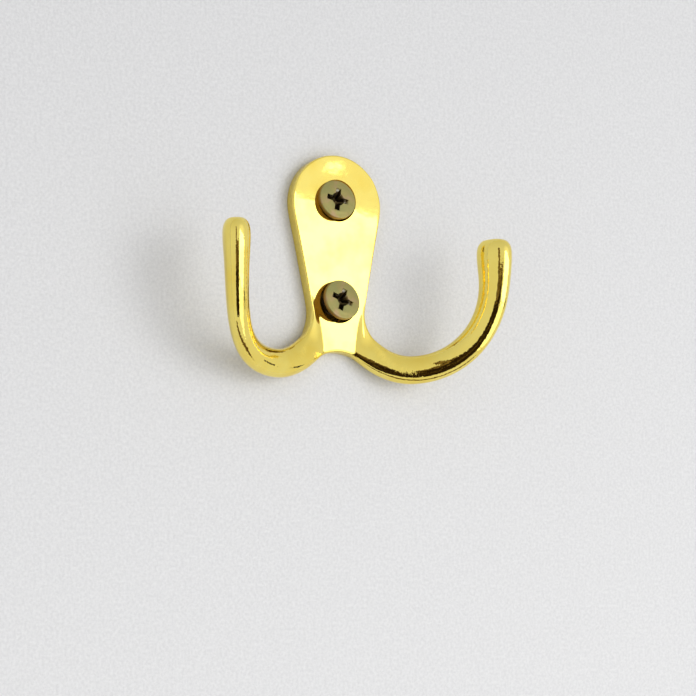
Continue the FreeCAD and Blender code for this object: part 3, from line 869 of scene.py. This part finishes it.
class HOOK_OT_stage(Operator):
    """Sets the wall, the light and the camera"""
    bl_idname = "hook.stage"
    bl_label = "Stage"

    def execute(self, context):
        stage = context.scene.hook_stage
        self.build_wall(context.scene.hook_finish, context.scene.hook_casting)
        self.light_room(context.scene, stage)
        self.add_panels(stage)
        self.add_key(context.scene, stage)
        self.add_flags()
        self.set_camera(context.scene, stage)
        context.scene.view_settings.view_transform = "Standard"
        return {"FINISHED"}

    def build_wall(self, finish, casting):
        """Wall behind the plate, open behind it but closed and painted with shade behind the screws' bores.
        """
        bpy.ops.object.select_all(action="DESELECT")
        bpy.ops.mesh.primitive_plane_add(size=3.0, location=(0, 0.05 * MM, 0), rotation=(math.pi / 2, 0, 0))
        wall = bpy.context.object
        wall.name = "wall"
        bpy.ops.object.transform_apply(location=True, rotation=True, scale=True)
        wall.data.materials.append(studio_wall(finish, casting))

    def light_room(self, scene, stage):
        """Soft light of a pale room: dimmer overhead and to the left, with a glow round the panel."""
        world = bpy.data.worlds.new("room")
        world.use_nodes = True
        scene.world = world
        background = world.node_tree.nodes["Background"]
        background.inputs["Color"].default_value = (*WHITE, 1.0)
        shade = Shade(world.node_tree, None)
        way = shade.node("TexCoord")
        across, height = across_and_up(shade, way)
        overhead = shade.node("MapRange", Value=height, From_Min=0.1, From_Max=1.0, To_Min=1.0, To_Max=0.82)
        facing = shade.node("VectorMath", {"operation": "DOT_PRODUCT"}, output=1, i0=way,
                            i1=(0.49, -0.86, 0.14))
        glow = shade.node("MapRange", Value=facing, From_Min=0.86, From_Max=0.98, To_Min=0.0, To_Max=0.32)
        feed(shade, background, Strength=(overhead + across * 0.03 + glow) * stage.room)

    def add_panels(self, stage):
        """Soft panels to the right, which the flat face and the prongs mirror, and a small lamp."""
        for name, place, width, height, roll, strength in (
                ("panel", (0.72, -1.25, -0.112), 1.2, 0.75, 15, stage.panel),
                ("low_panel", (0.54, -0.93, -0.73), 1.1, 0.75, 0, stage.panel * 0.55),
                ("lamp", (0.968, -1.710, 0.405), 0.017, 0.005, 0, 3.2)):
            self.add_card(name, place, ORIGIN, width, height, roll, WHITE, strength)

    def add_key(self, scene, stage):
        """Broad light from the upper right, which casts the soft shadows on the wall."""
        data = bpy.data.lights.new("key", "AREA")
        data.energy = stage.key
        data.size = 0.5
        key = bpy.data.objects.new("key", data)
        key.location = (0.7, -0.95, 0.22)
        key.rotation_euler = (-key.location).to_track_quat("-Z", "Y").to_euler()
        key.visible_glossy = False
        scene.collection.objects.link(key)

    def add_flags(self):
        """Dark cards round the camera, at the side and below."""
        for name, place, target, width, height, roll, tone in DARK_CARDS:
            card = self.add_card(name, place, target, width, height, roll, tone)
            card.visible_diffuse = False
            card.visible_shadow = False
            self.mottle(card.active_material, tone)

    def add_card(self, name, place, target, width, height, roll, value, strength=1.0):
        """Plain card that faces its target and shows only in reflections and light."""
        bpy.ops.object.select_all(action="DESELECT")
        bpy.ops.mesh.primitive_plane_add(size=1.0)
        card = bpy.context.object
        card.name = name
        card.scale = (width, height, 1.0)
        card.location = place
        turn = (Vector(target) - Vector(place)).to_track_quat("Z", "Y")
        card.rotation_euler = (turn @ Quaternion((0.0, 0.0, 1.0), math.radians(roll))).to_euler()
        bpy.ops.object.transform_apply(location=True, rotation=True, scale=True)
        card.visible_camera = False
        material, shader, _ = new_material(name)
        shader.inputs["Base Color"].default_value = (0.0, 0.0, 0.0, 1.0)
        shader.inputs["Specular IOR Level"].default_value = 0.0
        shader.inputs["Emission Color"].default_value = (*value, 1.0)
        shader.inputs["Emission Strength"].default_value = strength
        card.data.materials.append(material)
        return card

    def mottle(self, material, dark):
        """Brown patches on a dark card, so that its reflection isn't one flat line."""
        shader = material.node_tree.nodes["Principled BSDF"]
        shade = Shade(material.node_tree, None)
        place = shade.node("TexCoord", output=3)
        patches = shade.node("TexNoise", Vector=place, Scale=13.0, Detail=4.0, Roughness=0.65)
        _, height = across_and_up(shade, place)
        lift = shade.node("MapRange", Value=height, From_Min=-0.22, From_Max=0.0, To_Min=0.0, To_Max=0.17)
        share = shade.node("ValToRGB", {"stops": [(0.55, 0.0), (0.74, 1.0)]}, Fac=patches + lift)
        feed(shade, shader, Emission_Color=mix_colours(shade, share, dark, BROWN))

    def set_camera(self, scene, stage):
        """Camera to the left of the hook and a little below it."""
        data = bpy.data.cameras.new("camera")
        data.lens = stage.lens
        data.clip_start = 0.01
        camera = bpy.data.objects.new("camera", data)
        camera.location = (-0.25115, -0.44452, -0.08372)
        across = Vector((0.86852, -0.49546, -0.01393))
        up = Vector((-0.05020, -0.11589, 0.99200))
        back = Vector((-0.49311, -0.86087, -0.12552))
        camera.rotation_euler = Matrix((across, up, back)).transposed().to_euler()
        scene.collection.objects.link(camera)
        scene.camera = camera


class HOOK_PT_panel(Panel):
    """Lists the pieces of the hook and their sizes"""
    bl_idname = "HOOK_PT_panel"
    bl_label = "Double robe hook"
    bl_space_type = "VIEW_3D"
    bl_region_type = "UI"
    bl_category = "Hook"

    def draw(self, context):
        for operator in (HOOK_OT_casting, HOOK_OT_screws, HOOK_OT_stage):
            self.layout.operator(operator.bl_idname)
        for group in (context.scene.hook_casting, context.scene.hook_screw, context.scene.hook_finish,
                      context.scene.hook_stage):
            column = self.layout.column()
            for name in group.__annotations__:
                column.prop(group, name)


GROUPS = {
    "hook_casting": HookCastingSizes,
    "hook_screw": HookScrewSizes,
    "hook_finish": HookFinish,
    "hook_stage": HookStage,
}
CLASSES = (HOOK_OT_casting, HOOK_OT_screws, HOOK_OT_stage, HOOK_PT_panel)


def register():
    for name, group in GROUPS.items():
        bpy.utils.register_class(group)
        setattr(bpy.types.Scene, name, PointerProperty(type=group))
    for part in CLASSES:
        bpy.utils.register_class(part)


def unregister():
    for part in reversed(CLASSES):
        bpy.utils.unregister_class(part)
    for name, group in GROUPS.items():
        delattr(bpy.types.Scene, name)
        bpy.utils.unregister_class(group)


def main():
    """Builds the hook and its stage."""
    register()
    bpy.ops.hook.casting()
    bpy.ops.hook.screws()
    bpy.ops.hook.stage()


if __name__ == "__main__":
    main()
